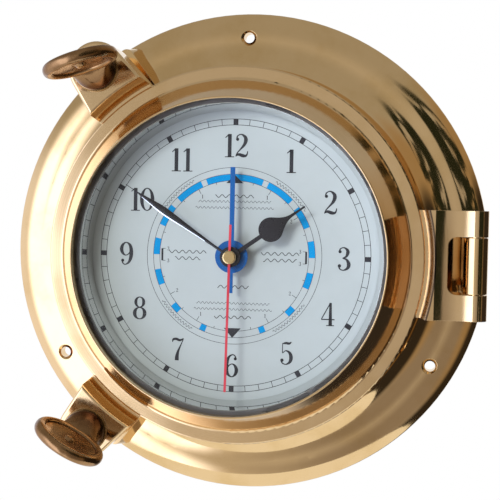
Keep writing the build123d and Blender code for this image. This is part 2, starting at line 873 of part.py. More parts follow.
def drive_unit():
    """Closed drive with the stepping motor and the minute reduction."""
    body = block(-drive_half_x, drive_half_x, -drive_half_y, drive_half_y,
                 cover_top_z, drive_top_z)
    body = fillet(body.edges().filter_by(Axis.Z), drive_round)
    body -= bar(minute_pipe_r + slip, drive_top_z - minute_pipe_depth, drive_top_z + overrun)
    return body - bar(second_arbor_r + slip, drive_top_z - second_arbor_depth, drive_top_z)


def board_outer_x():
    """Outer edge of the circuit board, beside the housing's wall."""
    return housing_half_width - housing_wall - board_edge_room


def circuit_board():
    return block(drive_half_x + board_room, board_outer_x(), board_low_y, board_high_y,
                 cover_top_z, cover_top_z + board_t)


def quartz_crystal():
    middle_x = (drive_half_x + board_room + board_outer_x()) / 2
    middle = Pos(middle_x, 0, cover_top_z + board_t + crystal_r)
    return middle * Rot(90, 0, 0) * Cylinder(crystal_r, crystal_length)


def battery_start():
    """Where the cell's flat end lies along X."""
    return bay_half_length - contact_t - cell_length


def battery_cell():
    cell = bar(battery_r, 0, battery_length)
    cell += bar(battery_cap_r, battery_length, cell_length)
    return Pos(battery_start(), battery_y, battery_z) * Rot(0, 90, 0) * cell


def battery_contacts():
    """Flat contact at the cap and a dished one at the cell's flat end."""
    def plate(left, right):
        return block(left, right, battery_y - contact_half, battery_y + contact_half,
                     battery_z - contact_half, battery_z + contact_half)
    bump = Cone(contact_bump_r, contact_bump_r / 2, contact_bump_reach)
    place = Pos(battery_start() - contact_bump_reach / 2, battery_y, battery_z)
    flat = plate(bay_half_length - contact_t, bay_half_length)
    dished = plate(-bay_half_length, contact_t - bay_half_length) + place * Rot(0, 90, 0) * bump
    return Compound(children=[flat, dished])


# Wheels

def pipe_top(hand_z):
    """Upper end of the pipe that carries a hand."""
    return hand_z + hand_t + pipe_end


def tide_wheel():
    wheel = toothed(tide_wheel_teeth, tide_wheel_module, 90 + 180 / tide_wheel_teeth,
                    tide_wheel_z, tide_wheel_z + wheel_t)
    wheel += bar(tide_pipe_r, tide_wheel_z, pipe_top(tide_hand_z))
    return wheel - bar(tide_pipe_bore, tide_wheel_z - overrun, pipe_top(tide_hand_z) + overrun)


def hour_wheel():
    """Hour pipe with the wheel that drives it and the one that drives the tide pinion."""
    wheel = toothed(hour_wheel_teeth, hour_module, 180 / hour_wheel_teeth - 90,
                    hour_wheel_z, hour_wheel_z + wheel_t)
    wheel += toothed(tide_driver_teeth, tide_driver_module, 90 + 180 / tide_driver_teeth,
                     tide_driver_z, tide_driver_z + wheel_t)
    wheel += bar(hour_pipe_r, hour_wheel_z, pipe_top(hour_hand_z))
    return wheel - bar(hour_pipe_bore, hour_wheel_z - overrun, pipe_top(hour_hand_z) + overrun)


def minute_arbor():
    low = drive_top_z - minute_pipe_depth + pivot_end_play
    wheel = toothed(minute_pinion_teeth, minute_module, -90, motion_wheel_z - pinion_spare,
                    motion_wheel_z + wheel_t + pinion_spare)
    wheel += bar(minute_pipe_r, low, pipe_top(minute_hand_z))
    return wheel - bar(minute_pipe_bore, low - overrun, pipe_top(minute_hand_z) + overrun)


def second_arbor():
    return bar(second_arbor_r, drive_top_z - second_arbor_depth + pivot_end_play,
               pipe_top(second_hand_z))


def setting_arbor():
    """Arbor from its knob through the cover to its pivot in the housing."""
    return bar(arbor_r, knob_top_z - knob_bore_depth + pivot_end_play,
               chamber_z + pivot_depth - pivot_end_play)


def motion_wheel():
    wheel = toothed(motion_wheel_teeth, minute_module, 90 + 180 / motion_wheel_teeth,
                    motion_wheel_z, motion_wheel_z + wheel_t)
    wheel += toothed(motion_pinion_teeth, hour_module, 90, hour_wheel_z - pinion_spare,
                     hour_wheel_z + wheel_t + pinion_spare)
    return Pos(0, -arbor_offset, 0) * (wheel + setting_arbor())


def tide_pinion():
    """Long pinion that turns the tide wheel from the hour wheel, a little slower."""
    module = (tide_driver_module + tide_wheel_module) / 2
    pinion = toothed(tide_pinion_teeth, module, -90, tide_driver_z - pinion_spare,
                     tide_wheel_z + wheel_t + pinion_spare)
    return Pos(0, tide_offset, 0) * (pinion + setting_arbor())


def setting_knob(y):
    """Knob with a scalloped grip and a blind bore for its arbor."""
    grips = [Pos(knob_r * cos(turn), knob_r * sin(turn)) * Circle(knob_grip_r)
             for turn in (2 * pi * step / knob_grips for step in range(knob_grips))]
    knob = slab(Circle(knob_r) - grips, knob_top_z - knob_t, knob_top_z)
    knob -= bar(arbor_r + slip, knob_top_z - knob_bore_depth, knob_top_z + overrun)
    return Pos(0, y, 0) * knob


# Hands, drawn pointing up

def hand_blank(outline, hub_r, bore_r, low):
    """A hand of one outline with a round hub, bored for its pipe."""
    return slab(outline + Circle(hub_r) - Circle(bore_r), low, low + hand_t)


def tide_hand():
    length = tide_hand_tip_r + tide_hand_tail_r
    outline = Pos(0, tide_hand_tip_r - length / 2) * Rectangle(2 * tide_tail_half, length)
    outline += Pos(0, tide_hand_tip_r / 2) * Rectangle(2 * tide_hand_half, tide_hand_tip_r)
    return hand_blank(outline, tide_hub_r, tide_pipe_r + slip, tide_hand_z)


def hour_shoulders():
    """Two hollow curves that draw the hour hand's blob in to its spear."""
    angle = radians(hour_shoulder_angle)
    start = (hour_blob_r * cos(angle), hour_blob_centre_r + hour_blob_r * sin(angle))
    end = (hour_spear_half, hour_spear_start_r)
    right = Spline(start, end, tangents=[(-sin(angle), cos(angle)), (0, 1)])
    left = mirror(right, Plane.YZ)
    return make_face([right, left, Line(left @ 0, right @ 0), Line(left @ 1, right @ 1)])


def hour_hand():
    """Spade hand: a stem, a round blob and a spear with hollow shoulders."""
    outline = make_face(Polyline(
        (-hour_stem_half, 0), (hour_stem_half, 0), (hour_stem_half, hour_blob_centre_r),
        (hour_spear_half, hour_spear_start_r), (hour_point_half, hour_hand_tip_r),
        (-hour_point_half, hour_hand_tip_r), (-hour_spear_half, hour_spear_start_r),
        (-hour_stem_half, hour_blob_centre_r), close=True))
    outline += Pos(0, hour_blob_centre_r) * Circle(hour_blob_r)
    outline += hour_shoulders()
    return pointing(hand_blank(outline, hour_hub_r, hour_pipe_r + slip, hour_hand_z),
                    hour_hand_angle)


def minute_hand():
    """Lance hand, widest past its middle."""
    outline = make_face(Polyline(
        (-minute_stem_half, 0), (minute_stem_half, 0), (minute_belly_half, minute_belly_r),
        (minute_point_half, minute_hand_tip_r), (-minute_point_half, minute_hand_tip_r),
        (-minute_belly_half, minute_belly_r), close=True))
    return pointing(hand_blank(outline, minute_hub_r, minute_pipe_r + slip, minute_hand_z),
                    minute_hand_angle)


def second_hand():
    length = second_hand_tip_r + second_hand_tail_r
    outline = Pos(0, second_hand_tip_r - length / 2) * Rectangle(2 * second_hand_half, length)
    return pointing(hand_blank(outline, second_hub_r, second_arbor_r + slip, second_hand_z),
                    second_hand_angle)


def hand_cap():
    """Domed cap on the end of the second arbor."""
    low = second_hand_z + hand_t
    cap = bar(cap_r, low, low + cap_t)
    cap = fillet(cap.edges().filter_by_position(Axis.Z, low + cap_t, low + cap_t), cap_round)
    return cap - bar(second_arbor_r + slip, low - overrun, pipe_top(second_hand_z))


pieces = {
    "case_flange": case_flange(),
    "hinge_pin": hinge_pin(),
    "door_ring": door_ring(),
    "door_glass": door_glass(),
    "glass_seal": glass_seal(),
    "inner_ring": inner_ring(),
    "glass_snap_ring": glass_snap_ring(),
    "door_gasket": door_gasket(),
    "dial_plate": dial_plate(),
    "dial_mounting_ring": dial_mounting_ring(),
    "mounting_ring_screws": mounting_ring_screws(),
    "dial_nuts": dial_nuts(),
    "dial_cushion": dial_cushion(),
    "movement_case": movement_case(),
    "movement_cover": movement_cover(),
    "cover_screws": cover_screws(),
    "centre_bush": centre_bush(),
    "bush_nut": bush_nut(),
    "drive_unit": drive_unit(),
    "circuit_board": circuit_board(),
    "quartz_crystal": quartz_crystal(),
    "battery_cell": battery_cell(),
    "battery_contacts": battery_contacts(),
    "tide_wheel": tide_wheel(),
    "hour_wheel": hour_wheel(),
    "minute_arbor": minute_arbor(),
    "second_arbor": second_arbor(),
    "motion_wheel": motion_wheel(),
    "tide_pinion": tide_pinion(),
    "time_set_knob": setting_knob(-arbor_offset),
    "tide_set_knob": setting_knob(tide_offset),
    "tide_hand": tide_hand(),
    "hour_hand": hour_hand(),
    "minute_hand": minute_hand(),
    "second_hand": second_hand(),
    "hand_cap": hand_cap(),
}
for index, side in enumerate(("upper", "lower")):
    pieces[side + "_screw_washer"] = placed_on_ear(screw_washer(), index)
    pieces[side + "_screw_clip"] = placed_on_ear(screw_clip(), index)
    pieces[side + "_thumb_screw"] = placed_on_ear(thumb_screw(), index, paddle_angles[index])

os.makedirs("parts", exist_ok=True)
for name, piece in pieces.items():
    export_step(Rot(90, 0, 0) * piece, f"parts/{name}.step")
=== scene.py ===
"""Looks of a wall tide clock in a brass porthole case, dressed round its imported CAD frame.

Shapes are worked out in millimetres in the clock's own face frame: X to the right, Y up
and Z out of the wall. Each mesh is then turned into the shared frame in metres, where Z is
up and the dial looks along -Y.
"""

import json
import logging
from dataclasses import dataclass
from enum import Enum
from typing import Optional, Sequence, Union

import bmesh
import bpy
import numpy as np
from mathutils import Matrix, Vector


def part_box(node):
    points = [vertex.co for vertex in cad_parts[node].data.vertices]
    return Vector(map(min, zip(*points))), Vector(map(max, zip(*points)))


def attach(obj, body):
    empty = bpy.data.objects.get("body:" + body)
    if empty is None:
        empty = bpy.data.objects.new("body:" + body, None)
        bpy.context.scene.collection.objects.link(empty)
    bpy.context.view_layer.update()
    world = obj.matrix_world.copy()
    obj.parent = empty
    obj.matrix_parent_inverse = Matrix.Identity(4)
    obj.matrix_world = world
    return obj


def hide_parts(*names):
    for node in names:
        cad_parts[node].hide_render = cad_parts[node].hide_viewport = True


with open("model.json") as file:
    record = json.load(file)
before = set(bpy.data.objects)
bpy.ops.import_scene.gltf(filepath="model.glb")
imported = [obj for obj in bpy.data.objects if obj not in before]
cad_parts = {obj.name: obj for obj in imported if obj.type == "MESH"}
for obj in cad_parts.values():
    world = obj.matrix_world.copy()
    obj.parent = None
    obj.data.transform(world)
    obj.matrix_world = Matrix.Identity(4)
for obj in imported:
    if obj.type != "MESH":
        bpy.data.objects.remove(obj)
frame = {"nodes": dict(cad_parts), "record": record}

log = logging.getLogger("tide_clock")
Array = np.ndarray
Colour = tuple[float, float, float]
Place = tuple[float, float, float]
Value = Union[float, Sequence[float], bpy.types.NodeSocket]

CREASE_DEGREES = 32.0
WHITE: Colour = (1.0, 1.0, 1.0)


class Body(Enum):
    """Bodies of the clock that new pieces ride on."""

    CASE = "case"
    UPPER_SCREW = "upper_screw"
    LOWER_SCREW = "lower_screw"
    MINUTE = "minute_indicator"


# Mesh making

def in_row_frame(points: Array) -> Array:
    """Turns face-frame millimetres into the shared frame's metres.

    Args:
        points: Points as (..., 3), X right, Y up, Z out of the wall.

    Returns:
        The same points as (x, -z, y) / 1000.
    """
    return np.stack([points[..., 0], -points[..., 2], points[..., 1]], axis=-1) / 1000.0


class Shell:
    """Collects closed grids of points and makes one mesh of them."""

    def __init__(self) -> None:
        """Starts with no points and no faces."""
        self.points: list[Array] = []
        self.faces: list[list[int]] = []
        self.count = 0

    def grid(self, points: Array, close_rows: bool = False, close_columns: bool = True,
             caps: bool = True) -> None:
        """Adds a grid of quads, the faces between neighbouring rows and columns.

        Args:
            points: Points as (rows, columns, 3) in the face frame.
            close_rows: Joins the last row to the first one.
            close_columns: Joins the last column to the first one.
            caps: Closes the first and last row with one face each.
        """
        rows, columns = points.shape[:2]
        row = np.arange(rows if close_rows else rows - 1)[:, None]
        column = np.arange(columns if close_columns else columns - 1)[None, :]
        after, beside = (row + 1) % rows, (column + 1) % columns
        quads = np.stack([row * columns + column, after * columns + column,
                          after * columns + beside, row * columns + beside], axis=-1)
        self.faces += (quads.reshape(-1, 4) + self.count).tolist()
        if caps and not close_rows:
            first = np.arange(columns) + self.count
            self.faces += [first.tolist(), (first + (rows - 1) * columns)[::-1].tolist()]
        self.points.append(points.reshape(-1, 3))
        self.count += rows * columns

    def ribbon(self, path: Array, half: Array, low: float, high: float,
               closed: bool = False) -> None:
        """Adds a flat stroke: the path moved to both sides by its half width, then raised.

        Args:
            path: Centre line as (n, 2).
            half: Half width at each point, as (n,) or one number.
            low: Height of its back.
            high: Height of its face.
            closed: True for a ring.
        """
        if closed:
            along = np.roll(path, -1, axis=0) - np.roll(path, 1, axis=0)
        else:
            along = np.gradient(path, axis=0)
        along = along / np.maximum(np.linalg.norm(along, axis=1, keepdims=True), 1e-9)
        across = np.stack([-along[:, 1], along[:, 0]], axis=1)
        half = np.broadcast_to(np.asarray(half, dtype=float), (len(path),))[:, None]
        left, right = path + across * half, path - across * half
        section = np.zeros((len(path), 4, 3))
        section[:, (0, 3), :2] = left[:, None]
        section[:, (1, 2), :2] = right[:, None]
        section[:, :2, 2] = low
        section[:, 2:, 2] = high
        self.grid(section, close_rows=closed, caps=not closed)

    def turned(self, outline: Array, steps: int = 180) -> None:
        """Adds a ring: a closed outline of (radius, height) spun about the centre line.

        Args:
            outline: Closed outline as (n, 2).
            steps: Steps round the ring.
        """
        angle = np.linspace(0, 2 * np.pi, steps, endpoint=False)[:, None]
        radius, height = outline[None, :, 0], outline[None, :, 1]
        points = np.stack([radius * np.cos(angle), radius * np.sin(angle),
                           height + 0 * angle], axis=-1)
        self.grid(points, close_rows=True)

    def piece(self, name: str, body: Body, slot: str,
              finish: bpy.types.Material) -> bpy.types.Object:
        """Makes the object, gives it its finish and lets it ride.

        Args:
            name: Name of the piece.
            body: The body that carries it.
            slot: The record's material slot; not used.
            finish: Its material.

        Returns:
            The new object, at the origin with its place in its mesh.
        """
        mesh = bpy.data.meshes.new(name)
        mesh.from_pydata(in_row_frame(np.concatenate(self.points)), [], self.faces)
        solid = bmesh.new()
        solid.from_mesh(mesh)
        bmesh.ops.recalc_face_normals(solid, faces=solid.faces)
        solid.to_mesh(mesh)
        solid.free()
        mesh.polygons.foreach_set("use_smooth", [True] * len(mesh.polygons))
        mesh.set_sharp_from_angle(angle=np.radians(CREASE_DEGREES))
        mesh.materials.append(finish)
        obj = bpy.data.objects.new(name, mesh)
        bpy.context.scene.collection.objects.link(obj)
        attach(obj, body.value)
        log.info("%s: %d faces on %s", name, len(self.faces), body.value)
        return obj


def circle(radius: float, steps: int = 240) -> Array:
    """Points of a circle about the centre, (r sin a, r cos a), as (steps, 2)."""
    angle = np.linspace(0, 2 * np.pi, steps, endpoint=False)
    return radius * np.stack([np.sin(angle), np.cos(angle)], axis=1)


def arc(radius: float, start: float, end: float) -> Array:
    """Points of an arc, in degrees clockwise from 12 o'clock, one every degree or so."""
    angle = np.radians(np.linspace(start, end, max(3, int(abs(end - start)) + 2)))
    return radius * np.stack([np.sin(angle), np.cos(angle)], axis=1)


def spoke(angle: float, inner: float, outer: float) -> Array:
    """A straight line along a radius, in degrees clockwise from 12 o'clock."""
    turn = np.radians(angle)
    return np.outer([inner, outer], [np.sin(turn), np.cos(turn)])


def smooth_through(knots: Array, steps: int = 9) -> Array:
    """A curve through all knots, each value a cubic of its four nearest knots.

    Args:
        knots: Knots as (n, k); all k columns are interpolated alike.
        steps: Points for each stretch between two knots.

    Returns:
        The curve's points, with the first and last knot as its ends.
    """
    padded = np.concatenate([2 * knots[:1] - knots[1:2], knots, 2 * knots[-1:] - knots[-2:-1]])
    before, start, end, after = padded[:-3], padded[1:-2], padded[2:-1], padded[3:]
    t = np.linspace(0, 1, steps, endpoint=False)[None, :, None]
    b, s, e, a = (part[:, None, :] for part in (before, start, end, after))
    curve = 0.5 * (2 * s + (e - b) * t + (2 * b - 5 * s + 4 * e - a) * t ** 2
                   + (3 * s - b - 3 * e + a) * t ** 3)
    return np.concatenate([curve.reshape(-1, knots.shape[1]), knots[-1:]])


# Finishes

class Graph:
    """Node tree of one material or world, with short calls for shared nodes."""

    def __init__(self, owner: Union[bpy.types.Material, bpy.types.World]) -> None:
        """Clears the owner's node tree and keeps it."""
        owner.use_nodes = True
        self.tree = owner.node_tree
        self.tree.nodes.clear()

    def node(self, kind: str, inputs: Optional[dict[Union[str, int], Value]] = None,
             **settings: object) -> bpy.types.Node:
        """Adds a node.

        Args:
            kind: Node type without its ShaderNode prefix.
            inputs: Input names or numbers with a plain value or a socket to link.
            settings: Node properties.

        Returns:
            The new node.
        """
        node = self.tree.nodes.new("ShaderNode" + kind)
        for key, value in settings.items():
            setattr(node, key, value)
        for key, value in (inputs or {}).items():
            if isinstance(value, bpy.types.NodeSocket):
                self.tree.links.new(value, node.inputs[key])
            else:
                node.inputs[key].default_value = value
        return node

    def maths(self, operation: str, first: Value, second: Value = 0.0) -> bpy.types.NodeSocket:
        """One step of arithmetic on two numbers."""
        return self.node("Math", {0: first, 1: second}, operation=operation).outputs[0]

    def product(self, *factors: Value) -> bpy.types.NodeSocket:
        """All factors multiplied, from the first to the last."""
        total = factors[0]
        for factor in factors[1:]:
            total = self.maths("MULTIPLY", total, factor)
        return total

    def smooth(self, value: Value, start: float, end: float, low: float = 0.0,
               high: float = 1.0) -> bpy.types.NodeSocket:
        """A soft step from low to high while value goes from start to end."""
        inputs = {"Value": value, "From Min": start, "From Max": end, "To Min": low,
                  "To Max": high}
        return self.node("MapRange", inputs, interpolation_type="SMOOTHSTEP").outputs[0]

    def mixed(self, share: Value, first: Value, second: Value) -> bpy.types.NodeSocket:
        """Two colours mixed, the second by the given share."""
        def full(colour: Value) -> Value:
            return colour if isinstance(colour, bpy.types.NodeSocket) else (*colour, 1.0)
        node = self.node("Mix", {0: share, 6: full(first), 7: full(second)}, data_type="RGBA")
        return node.outputs[2]

    def place(self, stretch: Colour = (1.0, 1.0, 1.0)) -> bpy.types.NodeSocket:
        """Object coordinates in metres, stretched along each axis."""
        where = self.node("TexCoord").outputs["Object"]
        return self.node("Mapping", {"Vector": where, "Scale": stretch}).outputs[0]

    def noise(self, scale: float, detail: float = 3.0, rough: float = 0.5,
              where: Optional[bpy.types.NodeSocket] = None) -> bpy.types.NodeSocket:
        """Cloudy noise from 0 to 1, with the given number of features to the metre."""
        inputs = {"Vector": where or self.place(), "Scale": scale, "Detail": detail,
                  "Roughness": rough}
        return self.node("TexNoise", inputs).outputs[0]

    def from_centre(self) -> tuple[bpy.types.NodeSocket, ...]:
        """Place along X, radius from the clock's centre line, and depth along Y."""
        x, y, z = self.node("SeparateXYZ", {0: self.place()}).outputs
        flat = self.node("CombineXYZ", {0: x, 1: z}).outputs[0]
        return x, self.node("VectorMath", {0: flat}, operation="LENGTH").outputs["Value"], y

    def turning_lines(self, scale: float) -> bpy.types.NodeSocket:
        """Fine rings round the centre line: noise read at (radius, depth) alone."""
        _, radius, depth = self.from_centre()
        where = self.node("CombineXYZ", {0: radius, 1: depth}).outputs[0]
        return self.noise(scale, 3.0, 0.6, where)

    def bump(self, height: Value, distance: float, normal: Optional[Value] = None
             ) -> bpy.types.NodeSocket:
        """Surface relief of the given depth in metres."""
        inputs = {"Height": height, "Strength": 1.0, "Distance": distance}
        if normal is not None:
            inputs["Normal"] = normal
        return self.node("Bump", inputs).outputs[0]

    def surface(self, shader: bpy.types.NodeSocket) -> None:
        """Ends the tree in its output."""
        kind = "OutputWorld" if isinstance(self.tree.id_data, bpy.types.World) else "OutputMaterial"
        self.node(kind, {"Surface": shader})


def new_graph(name: str) -> tuple[bpy.types.Material, Graph]:
    """A new material and its empty node tree."""
    material = bpy.data.materials.new(name)
    return material, Graph(material)


@dataclass(frozen=True)
class Metal:
    """A metal: two tints in soft clouds, fine scratches, long waves and rounded edges.

    Behind a depth along Y, in metres, the metal is painted darker: painted shade for the parts
    that lie deep near the wall. A strip at the right, between two radii from the centre line
    and in front of a depth along Y, is painted darker too: painted shade on a side wall.
    """

    name: str
    bright: Colour
    dull: Colour
    rough_low: float
    rough_high: float
    wave_depth: float = 0.0
    wave_scale: float = 28.0
    grain_depth: float = 0.0
    grain_scale: float = 900.0
    lathe_depth: float = 0.0
    lathe_scale: float = 700.0
    tarnish: float = 0.0
    tarnish_fade: float = 0.009
    tarnish_tint: Colour = (0.085, 0.032, 0.016)
    dull_wall: tuple[float, ...] = ()
    wall_fade: float = 0.0003
    wall_tint: Colour = (0.21, 0.15, 0.10)
    edge: float = 0.0003

    def build(self) -> bpy.types.Material:
        """The finished material."""
        material, graph = new_graph(self.name)
        clouds = graph.noise(38.0, 5.0, 0.6)
        fine = graph.noise(1400.0, 2.0, 0.5, graph.place((1.0, 0.35, 1.0)))
        tint = graph.mixed(graph.smooth(clouds, 0.42, 0.72), self.bright, self.dull)
        smears = graph.maths("ADD", graph.maths("MULTIPLY", clouds, 0.7),
                             graph.maths("MULTIPLY", fine, 0.3))
        # Painted shade: behind the given depth along Y the tint turns dark brown, as if in shadow
        # near the wall.
        if self.tarnish:
            depth = graph.node("SeparateXYZ", {0: graph.place()}).outputs[1]
            foot = graph.smooth(depth, self.tarnish, self.tarnish + self.tarnish_fade)
            tint = graph.mixed(foot, tint, self.tarnish_tint)
        # Painted shade: a strip of wall at the right turns dark brown, as if in shadow.
        if self.dull_wall:
            start, end, front = self.dull_wall
            x, radius, depth = graph.from_centre()
            strip = graph.product(graph.smooth(radius, start, start + self.wall_fade),
                                  graph.smooth(radius, end + self.wall_fade, end),
                                  graph.smooth(depth, front, front - 2 * self.wall_fade),
                                  graph.smooth(x, 0.0, 0.01))
            tint = graph.mixed(strip, tint, self.wall_tint)
        rough = graph.smooth(smears, 0.35, 0.68, self.rough_low, self.rough_high)
        normal = None
        if self.edge:
            normal = graph.node("Bevel", {"Radius": self.edge}, samples=4).outputs[0]
        if self.wave_depth:
            waves = graph.noise(self.wave_scale, 1.0, 0.3)
            normal = graph.bump(waves, self.wave_depth, normal)
        if self.grain_depth:
            normal = graph.bump(graph.noise(self.grain_scale, 4.0, 0.6), self.grain_depth, normal)
        if self.lathe_depth:
            normal = graph.bump(graph.turning_lines(self.lathe_scale), self.lathe_depth, normal)
        inputs = {"Base Color": tint, "Roughness": rough, "Metallic": 1.0}
        if normal is not None:
            inputs["Normal"] = normal
        graph.surface(graph.node("BsdfPrincipled", inputs).outputs[0])
        return material


@dataclass(frozen=True)
class Coat:
    """Paint, enamel, ink, plastic or rubber: a tint with faint clouds and a fine skin."""

    name: str
    tint: Colour
    shade: Colour
    rough: float
    skin_scale: float = 1200.0
    skin_depth: float = 0.0
    gloss_coat: float = 0.0
    specular: float = 0.5
    cloud_scale: float = 60.0

    def build(self) -> bpy.types.Material:
        """The finished material."""
        material, graph = new_graph(self.name)
        clouds = graph.noise(self.cloud_scale, 4.0, 0.55)
        skin = graph.noise(self.skin_scale, 3.0, 0.6)
        tint = graph.mixed(graph.smooth(clouds, 0.35, 0.7), self.tint, self.shade)
        rough = graph.smooth(skin, 0.2, 0.8, self.rough * 0.85, self.rough * 1.15)
        inputs = {"Base Color": tint, "Roughness": rough, "Coat Weight": self.gloss_coat,
                  "Coat Roughness": 0.08, "Specular IOR Level": self.specular}
        if self.skin_depth:
            inputs["Normal"] = graph.bump(skin, self.skin_depth)
        graph.surface(graph.node("BsdfPrincipled", inputs).outputs[0])
        return material


@dataclass(frozen=True)
class ClearGlass:
    """Thin flat glass: it lets light straight through and mirrors a little of the room.

    Only outer faces mirror, because light that goes straight through would otherwise meet
    the inner faces at angles at which they mirror all of it.
    """

    name: str
    tint: Colour = (0.985, 1.0, 0.995)
    index: float = 1.3

    def build(self) -> bpy.types.Material:
        """The finished material."""
        material, graph = new_graph(self.name)
        smears = graph.smooth(graph.noise(45.0, 4.0, 0.6), 0.4, 0.8, 0.0, 0.05)
        clear = graph.node("BsdfTransparent", {"Color": (*self.tint, 1.0)}).outputs[0]
        mirror = graph.node("BsdfGlossy", {"Color": (*WHITE, 1.0), "Roughness": smears}).outputs[0]
        inside = graph.node("NewGeometry").outputs["Backfacing"]
        edge = graph.product(graph.node("Fresnel", {"IOR": self.index}).outputs[0],
                             graph.maths("SUBTRACT", 1.0, inside))
        graph.surface(graph.node("MixShader", {0: edge, 1: clear, 2: mirror}).outputs[0])
        return material


class Finishes:
    """All finishes of the clock, made once and handed out by name."""

    by_node = {"door_ring": "turned_brass", "glass_seal": "seal_rubber"}

    def __init__(self) -> None:
        """Builds each material."""
        recipes = [
            Metal("polished_brass", (0.81, 0.58, 0.305), (0.74, 0.51, 0.24), 0.05, 0.13,
                  wave_depth=0.0006),
            # turned_brass paints the door ring's right outer side wall dark: painted shade.
            Metal("turned_brass", (0.81, 0.585, 0.325), (0.74, 0.515, 0.26), 0.07, 0.15,
                  wave_depth=0.0003, lathe_depth=0.000012, dull_wall=(0.0811, 0.0856, -0.0428)),
            # cast_brass paints the screws' necks near the wall dark: painted shade and painted dark
            # reflection.
            Metal("cast_brass", (0.40, 0.235, 0.11), (0.17, 0.085, 0.035), 0.15, 0.34,
                  wave_depth=0.0010, wave_scale=120.0, tarnish=-0.0635, edge=0.0),
            Metal("aged_brass", (0.44, 0.265, 0.095), (0.20, 0.105, 0.035), 0.22, 0.42,
                  wave_depth=0.0008, wave_scale=90.0, grain_depth=0.00002, grain_scale=420.0),
            Metal("silvered_ring", (0.72, 0.715, 0.70), (0.60, 0.59, 0.575), 0.04, 0.10,
                  wave_depth=0.0002),
            Metal("steel", (0.55, 0.55, 0.56), (0.40, 0.40, 0.41), 0.18, 0.34),
            # On the minute hand's bevel this light metal is a painted highlight.
            Metal("polished_nickel", (0.74, 0.74, 0.75), (0.66, 0.66, 0.67), 0.14, 0.24,
                  edge=0.00005),
            ClearGlass("clear_glass"),
            Coat("black_rubber", (0.022, 0.021, 0.02), (0.035, 0.034, 0.032), 0.62,
                 skin_depth=0.00005),
            Coat("dial_enamel", (0.515, 0.55, 0.555), (0.495, 0.53, 0.535), 0.42,
                 skin_depth=0.000004),
            Coat("black_enamel", (0.014, 0.012, 0.015), (0.022, 0.019, 0.024), 0.3, gloss_coat=0.1,
                 specular=0.3),
            Coat("blue_enamel", (0.006, 0.095, 0.33), (0.01, 0.11, 0.37), 0.4, specular=0.25),
            Coat("red_enamel", (0.62, 0.035, 0.06), (0.70, 0.06, 0.09), 0.36, specular=0.3),
            Coat("black_plastic", (0.02, 0.02, 0.021), (0.03, 0.03, 0.031), 0.48,
                 skin_depth=0.00003),
            Coat("white_plastic", (0.72, 0.71, 0.67), (0.66, 0.65, 0.60), 0.4,
                 skin_depth=0.00002),
            Coat("battery_sleeve", (0.055, 0.07, 0.085), (0.07, 0.09, 0.11), 0.25,
                 gloss_coat=0.6),
            Coat("green_board", (0.015, 0.13, 0.05), (0.02, 0.17, 0.065), 0.3, gloss_coat=0.4),
            Coat("dial_ink", (0.028, 0.027, 0.033), (0.045, 0.043, 0.05), 0.5, specular=0.2),
            Coat("tide_ink", (0.0, 0.27, 0.62), (0.003, 0.30, 0.67), 0.5, specular=0.1),
            Coat("seal_rubber", (0.11, 0.102, 0.105), (0.14, 0.13, 0.13), 0.4, gloss_coat=0.3,
                 skin_depth=0.00003),
        ]
        self.made = {recipe.name: recipe.build() for recipe in recipes}

    def __getitem__(self, name: str) -> bpy.types.Material:
        """The material of one name."""
        return self.made[name]

    def dress_frame(self) -> None:
        """Gives each CAD node the finish of its slot in the record."""
        for entry in frame["record"]["subparts"]:
            node = frame["nodes"][entry["node"]]
            name = self.by_node.get(entry["node"], entry["material_slot"])
            for place in node.material_slots:
                place.material = self[name]
        log.info("dressed %d CAD nodes", len(frame["nodes"]))


# Dial

